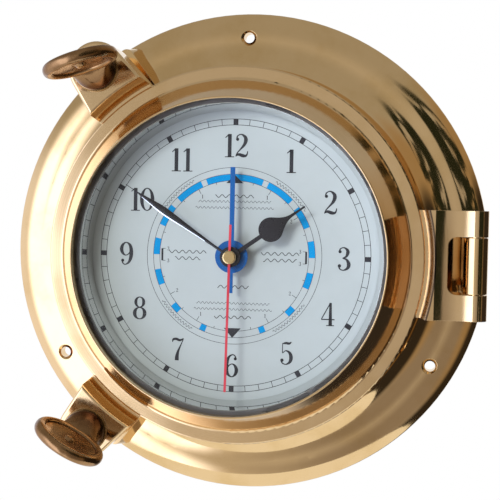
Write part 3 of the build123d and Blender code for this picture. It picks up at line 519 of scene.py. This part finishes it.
@dataclass
class Numeral:
    """Serif numerals drawn as strokes in a box one unit high."""

    height: float = 10.1
    digit_width: float = 0.60
    one_width: float = 0.50

    def strokes(self, digit: str) -> tuple[list[Array], list[Array], list[tuple]]:
        """Strokes of one digit.

        Args:
            digit: One character from 0 to 9.

        Returns:
            Curved strokes and straight strokes as (x, y, half width) knots, and round
            ends as (x, y, radius).
        """
        curved: dict[str, list[list[tuple]]] = {
            "2": [[(.10, .75, .03), (.13, .90, .026), (.29, .975, .026), (.45, .87, .065),
                   (.49, .72, .08), (.42, .53, .062), (.26, .34, .032), (.13, .19, .024),
                   (.07, .04, .024)],
                  [(.07, .08, .03), (.20, .125, .058), (.36, .075, .072), (.49, .07, .05),
                   (.555, .15, .03), (.575, .27, .018)]],
            "3": [[(.09, .80, .03), (.15, .925, .026), (.29, .975, .026), (.43, .88, .06),
                   (.455, .76, .074), (.39, .60, .045), (.24, .53, .02)],
                  [(.24, .53, .02), (.41, .47, .045), (.50, .29, .08), (.46, .12, .062),
                   (.29, .025, .026), (.14, .07, .026), (.075, .20, .03)]],
            "5": [[(.13, .90, .02), (.27, .93, .05), (.41, .915, .05), (.51, .985, .016)],
                  [(.13, .50, .018), (.28, .605, .026), (.44, .51, .06), (.50, .32, .08),
                   (.45, .13, .06), (.29, .025, .026), (.14, .07, .026), (.075, .18, .03)]],
            "6": [[(.49, .79, .03), (.44, .925, .026), (.33, .975, .024), (.18, .87, .05),
                   (.095, .65, .078), (.08, .38, .08), (.14, .14, .06), (.30, .025, .024),
                   (.45, .12, .055), (.51, .31, .078), (.45, .49, .055), (.33, .575, .024),
                   (.20, .52, .024), (.11, .38, .024)]],
            "7": [[(.055, .80, .016), (.085, .91, .045), (.22, .935, .055), (.38, .885, .05),
                   (.54, .965, .016)],
                  [(.53, .94, .018), (.42, .68, .026), (.31, .42, .05), (.26, .20, .078),
                   (.25, .01, .088)]],
        }
        curved["9"] = [[(self.digit_width - x, 1 - y, w) for x, y, w in stroke]
                       for stroke in curved["6"]]
        straight: dict[str, list[list[tuple]]] = {
            "1": [[(.30, .0, .08), (.30, .985, .08)], [(.27, .965, .03), (.11, .83, .018)],
                  [(.10, .02, .02), (.50, .02, .02)]],
            "4": [[(.40, .97, .022), (.035, .285, .022)], [(.03, .275, .024), (.59, .275, .024)],
                  [(.41, .0, .076), (.41, .985, .05)], [(.24, .02, .02), (.57, .02, .02)]],
            "5": [[(.135, .93, .018), (.125, .50, .018)]],
        }
        balls: dict[str, list[tuple]] = {
            "2": [(.135, .765, .068)], "3": [(.13, .80, .066), (.115, .205, .072)],
            "5": [(.115, .195, .072)], "6": [(.455, .80, .066)], "9": [(.145, .20, .066)],
        }
        rings = {"0": [(.31, .5, .235, .475, .058)],
                 "8": [(.30, .755, .175, .218, .045), (.30, .275, .22, .247, .058)]}
        made = [smooth_through(np.array(stroke)) for stroke in curved.get(digit, [])]
        for x, y, wide, tall, thick in rings.get(digit, []):
            turn = np.linspace(0, 2 * np.pi, 61)
            made.append(np.stack([x + wide * np.cos(turn), y + tall * np.sin(turn),
                                  .022 + thick * np.cos(turn) ** 2], axis=1))
        return made, [np.array(s) for s in straight.get(digit, [])], balls.get(digit, [])

    def draw(self, shell: Shell, text: str, centre: tuple[float, float], low: float,
             high: float) -> None:
        """Adds a number to a shell, upright and centred on a point.

        Args:
            shell: Where the strokes go.
            text: The number.
            centre: Its middle on the dial.
            low: Height of its back.
            high: Height of its face.
        """
        steps = np.cumsum([0.0] + [self.one_width if letter == "1" else self.digit_width
                                   for letter in text])
        for letter, start in zip(text, steps):
            shift = np.array([start - steps[-1] / 2, -0.5])
            curved, straight, balls = self.strokes(letter)
            for stroke in curved + straight:
                path = (stroke[:, :2] + shift) * self.height + centre
                shell.ribbon(path, stroke[:, 2] * self.height, low, high)
            for x, y, radius in balls:
                along = np.cos(np.linspace(np.pi, 0, 17))
                path = np.stack([x + along * radius, np.full(17, y)], axis=1) + shift
                shell.ribbon(path * self.height + centre,
                             radius * self.height * np.sqrt(1 - along ** 2) + 1e-4, low, high)


@dataclass
class DialPrint:
    """Printing on the dial: minute track, hour numbers and tide ring."""

    face: float = 40.6
    ink: float = 0.03
    track_inner: float = 56.2
    track_outer: float = 58.75
    line: float = 0.12
    number_radius: float = 47.4
    tide_circle: float = 38.0
    band_outer: float = 35.2
    band_inner: float = 32.4
    hour_of_tide: float = 28.98
    hour_block: float = 1.05
    thin_line: float = 0.09
    top_stretch: float = 21.0
    side_stretches: tuple[tuple[float, float], ...] = (
        (25, 45.6), (52, 68), (78, 90), (101, 112.5), (129.5, 136), (155.5, 160))
    bracket: float = 31.3
    bracket_half: float = 2.6
    title_rows: tuple[Place, ...] = (
        (0, 25.7, 8.4), (20.1, 1.4, 8.2), (20.1, -1.4, 7.2), (-20.1, 1.4, 8.2),
        (-20.1, -1.4, 5.6), (0, -13.3, 6.8), (0, -26.4, 8.0))
    small_rows: tuple[tuple[float, float], ...] = (
        (23.4, 15.8), (20.7, 17.0), (-20.4, 16.0), (-23.0, 17.0))
    ring_row_starts: tuple[float, ...] = (29.0, 123.0)
    ring_row_degrees: float = 28.0
    ring_row_radius: float = 36.6
    ring_row_height: float = 0.5
    ring_row_waves: int = 12

    def minute_track(self, finishes: Finishes) -> None:
        """Two rings joined by a tick each minute, with a block at each hour."""
        shell = Shell()
        top = self.face + self.ink
        for radius in (self.track_inner, self.track_outer):
            shell.ribbon(circle(radius), self.line, self.face, top, closed=True)
        for minute in range(60):
            shell.ribbon(spoke(minute * 6, self.track_inner, self.track_outer), self.line,
                         self.face, top - 0.004)
        for hour in range(12):
            shell.ribbon(spoke(hour * 30, self.track_inner, self.track_outer),
                         self.hour_block, self.face, top + 0.004)
        shell.piece("minute_track_print", Body.CASE, "black_enamel", finishes["dial_ink"])

    def numbers(self, finishes: Finishes) -> None:
        """The twelve hour numbers, upright."""
        shell, numeral = Shell(), Numeral()
        for hour in range(1, 13):
            turn = np.radians(hour * 30)
            centre = (self.number_radius * np.sin(turn), self.number_radius * np.cos(turn))
            numeral.draw(shell, str(hour), centre, self.face, self.face + self.ink)
        shell.piece("hour_numbers_print", Body.CASE, "black_enamel", finishes["dial_ink"])

    def tide_band(self, finishes: Finishes) -> None:
        """Blue stretches of the tide ring, which shorten from high to low water."""
        shell = Shell()
        middle = (self.band_inner + self.band_outer) / 2
        half = (self.band_outer - self.band_inner) / 2
        shell.ribbon(arc(middle, -self.top_stretch, self.top_stretch), half, self.face,
                     self.face + self.ink)
        for start, end in self.side_stretches:
            for side in (1, -1):
                shell.ribbon(arc(middle, side * start, side * end), half, self.face,
                             self.face + self.ink)
        shell.piece("tide_band_print", Body.CASE, "blue_enamel", finishes["tide_ink"])

    def tide_lines(self, finishes: Finishes) -> None:
        """Circles, ticks, small numbers, arrow heads and brackets of the tide ring."""
        shell, small = Shell(), Numeral(height=1.7)
        low, high = self.face, self.face + self.ink + 0.01
        for radius in (self.tide_circle, self.band_outer, self.band_inner):
            shell.ribbon(circle(radius), self.thin_line, low, high, closed=True)
        for half_hour in range(1, 6):
            for start, way in ((0.0, 1.0), (180.0, -1.0)):
                turn = half_hour * self.hour_of_tide / 2
                for side in (1, -1):
                    angle = side * (start + way * turn)
                    long = half_hour % 2 == 0
                    shell.ribbon(spoke(angle, self.band_inner - (2.2 if long else 1.0),
                                       self.band_inner), 0.1, low, high)
                    if long:
                        where = spoke(angle, 29.0, 29.0)[0]
                        small.draw(shell, str(half_hour // 2), tuple(where), low, high)
        for side in (1, -1):
            x, half = side * self.bracket, self.bracket_half
            shell.ribbon(np.array([[x, -half], [x, half]]), 0.42, low, high)
            for end in (-half, half):
                shell.ribbon(np.array([[x, end], [side * 29.9, end]]), 0.1, low, high)
                small.draw(shell, "3", (side * 28.7, end), low, high)
        for way, base, tip in ((1, 31.3, 34.9), (-1, 31.1, 35.3)):
            path = np.array([[0, way * base], [0, way * tip]])
            shell.ribbon(path, np.array([3.7, 0.02]), low, high + 0.006)
        shell.piece("tide_lines_print", Body.CASE, "black_enamel", finishes["dial_ink"])

    def waves(self, finishes: Finishes) -> None:
        """Rows of small waves, each a sine curve along a line or along the tide circle."""
        shell, top = Shell(), self.face + self.ink
        for x, y, half in self.title_rows:
            self.wave_row(shell, (x, y), half, 0.62, 3.1, 0.15)
        for y, half in self.small_rows:
            self.wave_row(shell, (0, y), half, 0.42, 1.7, 0.085)
        phase = np.linspace(0, 2 * np.pi * self.ring_row_waves, 241)
        radius = self.ring_row_radius + self.ring_row_height * np.sin(phase)
        for start in self.ring_row_starts:
            for side in (1, -1):
                turn = np.radians(side * np.linspace(start, start + self.ring_row_degrees, 241))
                path = radius[:, None] * np.stack([np.sin(turn), np.cos(turn)], axis=1)
                shell.ribbon(path, self.thin_line, self.face, top)
        shell.piece("wave_rows_print", Body.CASE, "black_enamel", finishes["dial_ink"])

    def wave_row(self, shell: Shell, centre: tuple[float, float], half: float, height: float,
                 length: float, stroke: float) -> None:
        """One straight row of waves, y = height * sin(2 pi x / length).

        Args:
            shell: Where the row goes.
            centre: Middle of the row on the dial.
            half: Half its width.
            height: Height of a wave over its middle.
            length: Length of a wave.
            stroke: Half width of the line.
        """
        x = np.linspace(-half, half, int(24 * half / length) + 2)
        path = np.stack([x, height * np.sin(2 * np.pi * x / length)], axis=1) + centre
        shell.ribbon(path, stroke, self.face, self.face + self.ink)

    def build(self, finishes: Finishes) -> None:
        """Prints the whole dial."""
        self.minute_track(finishes)
        self.numbers(finishes)
        self.tide_band(finishes)
        self.tide_lines(finishes)
        self.waves(finishes)


@dataclass
class MinuteHand:
    """Lance hand with a ridge along its middle and a round boss over its pipe."""

    angle: float = 303.3
    low: float = 49.8
    thick: float = 0.5
    tip: float = 54.5
    belly: float = 34.5
    belly_half: float = 1.65
    stem_half: float = 0.6
    boss: float = 4.35
    bevel: float = 0.30
    bevel_start: float = 12.0
    bevel_end: float = 45.5

    def build(self, finishes: Finishes) -> None:
        """Two sloping faces from the ridge to the edges, the lower one with a bevel in light metal
        as a painted highlight.

        The half width is a smooth curve of the length, and the ridge rises with it.
        """
        knots = np.array([(0, self.stem_half), (10, self.stem_half),
                          (self.belly * 0.66, self.belly_half * 0.68),
                          (self.belly, self.belly_half), (self.belly + 9, self.belly_half * 0.52),
                          (self.tip - 5, 0.22), (self.tip, 0.12)])
        curve = smooth_through(knots)
        length, half = curve[:, 0], np.maximum(curve[:, 1], 0.1)
        ridge = np.minimum(self.thick, 0.16 + half * 0.26)
        flat, edge = 0 * half, 0 * half + 0.12
        inner = edge + self.bevel * (ridge - edge)
        across = np.stack([-half, -half, (self.bevel - 1) * half, flat, half, half], axis=1)
        height = np.stack([flat, edge, inner, ridge, edge, flat], axis=1)
        turn = np.radians(self.angle)
        along = np.array([np.sin(turn), np.cos(turn)])
        beside = np.array([np.cos(turn), -np.sin(turn)])
        level = length[:, None, None] * along + across[..., None] * beside
        shell = Shell()
        shell.grid(np.concatenate([level, height[..., None] + self.low], axis=-1))
        rim = np.array([(self.boss, 0), (self.boss, 0.38), (self.boss - 0.12, 0.5),
                        (1.32, 0.5), (1.32, 0)]) + (0, self.low)
        shell.turned(rim, 96)
        obj = shell.piece("minute_hand_ridged", Body.MINUTE, "black_enamel",
                          finishes["black_enamel"])
        # Painted highlight: the lower bevel faces get light polished metal in place of a
        # reflection.
        obj.data.materials.append(finishes["polished_nickel"])
        rows = np.flatnonzero((length[:-1] > self.bevel_start) & (length[:-1] < self.bevel_end))
        for face in rows * across.shape[1] + 1:  # the second face of each row is the bevel
            obj.data.polygons[int(face)].material_index = 1
        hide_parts("minute_hand")


@dataclass
class ThumbScrew:
    """Cast thumb screw: a shank, a round neck and an oval paddle with a rolled rim.

    Its own axes are u across the paddle, v through it and h out from its washer.
    """

    side: str
    body: Body
    turn: float
    half_width: float = 15.7
    half_height: float = 14.4
    middle: float = 21.0
    rim: float = 3.9
    rim_top: float = 2.4
    rim_foot: float = 2.5
    floor: float = 0.8
    bowl: float = 0.5
    nub: float = 2.5
    nub_rise: float = 1.6
    shank: float = 4.0
    core: float = 3.3
    groove: float = 3.0
    pitch: float = 1.25
    thread_top: float = 24.0
    tip: float = 14.2
    neck_knots: tuple[Place, ...] = (
        (0, 8.7, 8.7), (0.6, 9.1, 9.1), (3.0, 9.0, 8.6), (5.5, 8.6, 7.0), (7.6, 8.8, 4.9),
        (9.2, 9.2, 3.0), (10.1, 9.3, 1.2))

    def paddle(self) -> Array:
        """Closed oval body; its rows run from one dish over the rim to the other dish.

        In a dish the half thickness is floor + bowl q^3 plus a dome for the nub, q being 1 at
        the dish's edge. Over the rim, s from 0 to 1, it is an arc T sqrt(1 - (2s - 1)^2).

        Returns:
            Points as (rows, columns, 3) in u, v and h.
        """
        turn = np.linspace(0, 2 * np.pi, 96, endpoint=False)[None, :]
        q = np.linspace(0.02, 1, 26)
        s = (1 - np.cos(np.linspace(0, np.pi, 21)[1:])) / 2
        wide, tall = self.half_width - self.rim, self.half_height - self.rim
        u = np.concatenate([q * wide, wide + s * self.rim])[:, None] * np.sin(turn)
        rise = np.concatenate([q * tall, tall + s * self.rim])[:, None] * np.cos(turn)
        low = (1 - rise / self.half_height) / 2
        crest = self.rim_top + (self.rim_foot - self.rim_top) * low
        q, s = (np.concatenate(pair)[:, None] for pair in ((q, 0 * s + 1), (0 * q, s)))
        edge = np.where(s < 0.5, self.floor + self.bowl * q ** 3, 0)
        half = edge + (crest - edge) * np.sqrt(np.maximum(1 - (2 * s - 1) ** 2, 0))
        half += self.nub_rise * np.sqrt(np.maximum(1 - (u ** 2 + rise ** 2) / self.nub ** 2, 0))
        front = np.stack([u, half, self.middle + rise], axis=-1)
        return np.concatenate([front, front[-2::-1] * (1, -1, 1)])

    def neck(self) -> Array:
        """Bell-shaped loft from the round boss on the washer to a flat oval in the paddle's rim.

        Returns:
            Points as (rows, columns, 3), each row an ellipse (a sin t, b cos t).
        """
        curve = smooth_through(np.array(self.neck_knots), 4)
        h, a, b = (column[:, None] for column in curve.T)
        turn = np.linspace(0, 2 * np.pi, 64, endpoint=False)[None, :]
        return np.stack([a * np.sin(turn), b * np.cos(turn), h + 0 * turn], axis=-1)

    def rod(self, seat: float, groove_top: float, groove_back: float) -> Array:
        """Shank with the clip's groove and a screw thread, a radius r(h, t) round its axis.

        The thread is a triangle wave of height less turn: |2 frac(z / pitch - t / 2 pi) - 1|.

        Args:
            seat: Height of the washer's face above the wall.
            groove_top: Front of the clip's groove.
            groove_back: Back of the clip's groove.

        Returns:
            Points as (rows, columns, 3) in u, v and h.
        """
        turn = np.linspace(0, 2 * np.pi, 40, endpoint=False)[None, :]
        plain = [(seat + 0.5, self.shank), (groove_top, self.shank), (groove_top, self.groove),
                 (groove_back, self.groove), (groove_back, self.shank),
                 (self.thread_top, self.shank)]
        z, radius = np.array(plain).T[:, :, None]
        long = np.linspace(self.thread_top - 0.1, self.tip, 90)[:, None]
        wave = np.abs(2 * np.mod(long / self.pitch - turn / (2 * np.pi), 1) - 1)
        fade = np.clip((long - self.tip) / 0.8, 0, 1)
        thread = self.core - 0.3 * (1 - fade) + (self.shank - self.core - 0.05) * wave * fade
        z = np.concatenate([z, long])
        radius = np.concatenate([radius + 0 * turn, thread])
        return np.stack([radius * np.cos(turn), radius * np.sin(turn), z - seat + 0 * turn],
                        axis=-1)

    def build(self, finishes: Finishes) -> None:
        """Makes the screw, turned about its axis where its washer and clip are."""
        washer, clip = (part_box(f"{self.side}_screw_{name}") for name in ("washer", "clip"))
        seat, groove_top, groove_back = (
            -1000 * value for value in (washer[0][1], clip[0][1], clip[1][1]))
        centre = [500 * (washer[0][axis] + washer[1][axis]) for axis in (0, 2)]
        turn = np.radians(self.turn)
        shell = Shell()
        for part in (self.paddle(), self.neck(), self.rod(seat, groove_top, groove_back)):
            u, v, h = np.moveaxis(part, -1, 0)
            shell.grid(np.stack([centre[0] + u * np.cos(turn) - v * np.sin(turn),
                                 centre[1] + u * np.sin(turn) + v * np.cos(turn),
                                 seat + h], axis=-1))
        obj = shell.piece(f"{self.side}_thumb_screw_cast", self.body, "aged_brass",
                          finishes["cast_brass"])
        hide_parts(f"{self.side}_thumb_screw")


# Studio

@dataclass
class Studio:
    """Camera, room light and floor."""

    camera_place: Place = (0.07322, -0.49610, 0.02250)
    camera_back: Place = (0.14353, -0.98872, 0.04275)
    camera_roll: float = 1.08
    lens: float = 77.33
    floor_z: float = -0.75
    floor_radius: float = 0.6
    floor_rings: int = 24
    floor_steps: int = 72
    lamp_place: Place = (-0.50, -1.25, 0.42)
    lamp_width: float = 0.36
    lamp_watts: float = 10.0
    room_low: Colour = (0.66, 0.62, 0.58)
    room_high: Colour = (0.42, 0.40, 0.37)
    window_light: Colour = (2.3, 2.45, 3.1)
    shade_tint: Colour = (0.18, 0.14, 0.125)
    shade_place: Place = (0.45, -0.75, -0.48)
    right_tint: Colour = (0.38, 0.28, 0.17)
    corner_tint: Colour = (0.035, 0.028, 0.022)
    leaf_tint: Colour = (0.02, 0.024, 0.014)
    leaf_place: Place = (0.66, -0.72, 0.2)

    def camera(self) -> None:
        """Places the camera: its right, up and back axes are the matrix's columns."""
        back = Vector(self.camera_back).normalized()
        right = Vector((0, 0, 1)).cross(back).normalized()
        right = Matrix.Rotation(np.radians(self.camera_roll), 3, back) @ right
        up = back.cross(right)
        data = bpy.data.cameras.new("camera")
        data.lens, data.sensor_width = self.lens, 36.0
        data.clip_start, data.clip_end = 0.02, 20.0
        camera = bpy.data.objects.new("camera", data)
        camera.matrix_world = (Matrix.Translation(self.camera_place)
                               @ Matrix((right, up, back)).transposed().to_4x4())
        bpy.context.scene.collection.objects.link(camera)
        bpy.context.scene.camera = camera

    def world(self) -> None:
        """Room light by direction, one thing laid over another.

        A broad window at the left, a shade at the lower right, a brown right side with a dark
        lower corner, leaves at the upper right, and white behind the clock.
        """
        world = bpy.data.worlds.new("room")
        bpy.context.scene.world = world
        graph = Graph(world)
        where = graph.node("TexCoord").outputs["Generated"]
        x, y, z = graph.node("SeparateXYZ", {0: where}).outputs

        def towards(direction: Place, near: float, far: float) -> bpy.types.NodeSocket:
            """1 within near degrees of a direction, fading to 0 at far degrees."""
            dot = graph.node("VectorMath", {0: where, 1: Vector(direction).normalized()},
                             operation="DOT_PRODUCT").outputs["Value"]
            return graph.smooth(dot, np.cos(np.radians(far)), np.cos(np.radians(near)))

        room = graph.mixed(graph.smooth(z, -0.6, 0.7), self.room_low, self.room_high)
        shade = graph.product(towards(self.shade_place, 12, 44), 0.72)
        room = graph.mixed(shade, room, self.shade_tint)
        slant = graph.maths("ADD", x, graph.product(z, 0.6))
        window = graph.product(graph.smooth(slant, -0.22, -0.44), graph.smooth(z, 0.55, 0.15),
                               graph.smooth(x, -0.16, -0.36),
                               graph.smooth(y, -0.25, -0.62, 0.25, 1.0))
        room = graph.mixed(window, room, self.window_light)
        room = graph.mixed(graph.smooth(x, 0.55, 0.8), room, self.right_tint)
        low_right = graph.maths("SUBTRACT", graph.product(x, 0.8), graph.product(z, 0.6))
        corner = graph.product(graph.smooth(low_right, 0.45, 0.62), graph.smooth(y, -0.50, -0.25))
        room = graph.mixed(corner, room, self.corner_tint)
        stems = graph.node("Mapping", {"Vector": where, "Scale": (1.2, 1.2, 3.2)}).outputs[0]
        leaves = graph.product(towards(self.leaf_place, 24, 28),
                               graph.smooth(graph.noise(2.4, 2.0, 0.5, stems), 0.41, 0.45))
        room = graph.mixed(leaves, room, self.leaf_tint)
        room = graph.mixed(graph.smooth(y, 0.80, 0.93), room, WHITE)
        seen = graph.node("LightPath").outputs["Is Camera Ray"]
        colour = graph.mixed(seen, room, WHITE)
        graph.surface(graph.node("Background", {"Color": colour, "Strength": 1.0}).outputs[0])

    def lamp(self) -> None:
        """One large soft lamp from the upper left, which gives the hands their soft shadows."""
        data = bpy.data.lights.new("soft_lamp", "AREA")
        data.shape, data.size, data.energy = "DISK", self.lamp_width, self.lamp_watts
        lamp = bpy.data.objects.new("soft_lamp", data)
        lamp.location = self.lamp_place
        lamp.rotation_euler = (-Vector(lamp.location)).to_track_quat("-Z", "Y").to_euler()
        lamp.visible_glossy = False
        bpy.context.scene.collection.objects.link(lamp)

    def floor(self) -> None:
        """A round pale floor whose rim melts into the white background."""
        rings = np.linspace(0.002, self.floor_radius, self.floor_rings)[:, None]
        angle = np.linspace(0, 2 * np.pi, self.floor_steps, endpoint=False)[None, :]
        points = np.stack([rings * np.cos(angle), rings * np.sin(angle),
                           self.floor_z + 0 * rings * angle], axis=-1).reshape(-1, 3)
        index = np.arange(rings.size * angle.size).reshape(rings.size, angle.size)
        beside = np.roll(index, -1, axis=1)
        quads = np.stack([index[:-1], index[1:], beside[1:], beside[:-1]], axis=-1)
        mesh = bpy.data.meshes.new("floor")
        mesh.from_pydata(points, [], quads.reshape(-1, 4).tolist() + [index[0].tolist()])
        material, graph = new_graph("floor_finish")
        where = graph.node("TexCoord").outputs["Object"]
        radius = graph.node("VectorMath", {0: where}, operation="LENGTH").outputs["Value"]
        tint = graph.mixed(graph.noise(6.0, 3.0), (0.80, 0.80, 0.79), (0.84, 0.84, 0.83))
        cloth = graph.node("BsdfDiffuse", {"Color": tint}).outputs[0]
        white = graph.node("Emission", {"Color": (*WHITE, 1.0), "Strength": 1.0}).outputs[0]
        path = graph.node("LightPath").outputs
        seen = graph.maths("MAXIMUM", path["Is Camera Ray"], graph.maths(
            "MAXIMUM", path["Is Glossy Ray"], path["Is Transmission Ray"]))
        share = graph.product(seen, graph.smooth(radius, 0.8 * self.floor_radius,
                                                 0.97 * self.floor_radius))
        graph.surface(graph.node("MixShader", {0: share, 1: cloth, 2: white}).outputs[0])
        mesh.materials.append(material)
        floor = bpy.data.objects.new("floor", mesh)
        bpy.context.scene.collection.objects.link(floor)

    def build(self) -> None:
        """Sets up camera, light and floor."""
        bpy.context.scene.view_settings.view_transform = "Standard"
        self.camera()
        self.world()
        self.lamp()
        self.floor()
        log.info("studio ready")


def main() -> None:
    """Builds the studio, the finishes and each group of pieces."""
    logging.basicConfig(level=logging.INFO, format="%(name)s %(message)s")
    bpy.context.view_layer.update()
    Studio().build()
    finishes = Finishes()
    finishes.dress_frame()
    DialPrint().build(finishes)
    MinuteHand().build(finishes)
    ThumbScrew("upper", Body.UPPER_SCREW, 198.2).build(finishes)
    ThumbScrew("lower", Body.LOWER_SCREW, -30.6).build(finishes)


if __name__ == "__main__":
    main()
